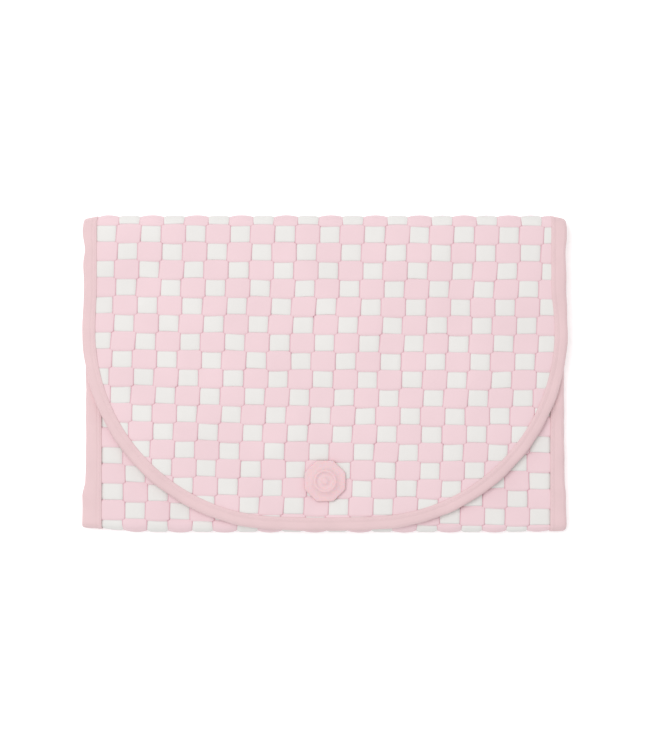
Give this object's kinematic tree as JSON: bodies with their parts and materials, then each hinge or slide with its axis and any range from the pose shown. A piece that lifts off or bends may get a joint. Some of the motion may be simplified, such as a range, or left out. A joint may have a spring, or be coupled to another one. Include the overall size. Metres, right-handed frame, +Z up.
{
  "type": "changing pad",
  "caption": "Folded baby changing pad of woven padded straps with bound edges, a round-cornered flap and a press stud under an octagonal badge.",
  "frame": {"origin": "middle of the underside of the folded pad, on the surface it lies on", "axes": "+X along the pad's long side, +Y towards the fold that carries the flap, +Z up through the folded layers"},
  "size_m": [0.305, 0.2, 0.02],
  "materials": {
    "warp_strap": "matte padded knit strap",
    "weft_strap": "matte padded knit strap",
    "binding_tape": "smooth matte stretch tape",
    "padding": "soft foam",
    "lining": "wipe-clean coated cloth, low sheen",
    "badge": "matte moulded silicone",
    "snap_metal": "satin nickel"
  },
  "bodies": {
    "back": {"back_warp_straps": "warp_strap", "back_weft_straps": "weft_strap", "back_padding": "padding", "back_lining": "lining", "back_left_binding": "binding_tape", "back_right_binding": "binding_tape", "bottom_fold_warp_straps": "warp_strap", "bottom_fold_weft_straps": "weft_strap", "bottom_fold_padding": "padding", "bottom_fold_lining": "lining", "bottom_fold_bindings": "binding_tape", "top_fold_warp_straps": "warp_strap", "top_fold_weft_straps": "weft_strap", "top_fold_padding": "padding", "top_fold_lining": "lining", "top_fold_bindings": "binding_tape"},
    "front": {"front_lower_warp_straps": "warp_strap", "front_lower_weft_straps": "weft_strap", "front_lower_padding": "padding", "front_lower_lining": "lining", "front_lower_left_binding": "binding_tape", "front_lower_right_binding": "binding_tape", "front_upper_warp_straps": "warp_strap", "front_upper_weft_straps": "weft_strap", "front_upper_padding": "padding", "front_upper_lining": "lining", "front_upper_binding": "binding_tape", "snap_stud": "snap_metal", "stud_washer": "snap_metal"},
    "flap": {"flap_warp_straps": "warp_strap", "flap_weft_straps": "weft_strap", "flap_padding": "padding", "flap_lining": "lining", "flap_binding": "binding_tape", "snap_socket": "snap_metal", "snap_cap": "snap_metal", "badge": "badge"}
  },
  "joints": [
    {"name": "flap_open", "type": "hinge", "parent": "back", "child": "flap", "pos_m": [0, 0.09573, 0.00855], "axis": [-1, 0, 0], "range_deg": [0, 178], "deforming": ["top_fold_warp_straps", "top_fold_weft_straps", "top_fold_padding", "top_fold_lining", "top_fold_bindings"]},
    {"name": "front_unfold", "type": "hinge", "parent": "back", "child": "front", "pos_m": [0, -0.09717, 0.00565], "axis": [1, 0, 0], "range_deg": [0, 178], "deforming": ["bottom_fold_warp_straps", "bottom_fold_weft_straps", "bottom_fold_padding", "bottom_fold_lining", "bottom_fold_bindings", "front_upper_warp_straps", "front_upper_weft_straps", "front_upper_padding", "front_upper_lining", "front_upper_binding"]}
  ],
  "couplings": [
    {"joint": "front_unfold", "follows": "flap_open", "ratio": 1}
  ]
}
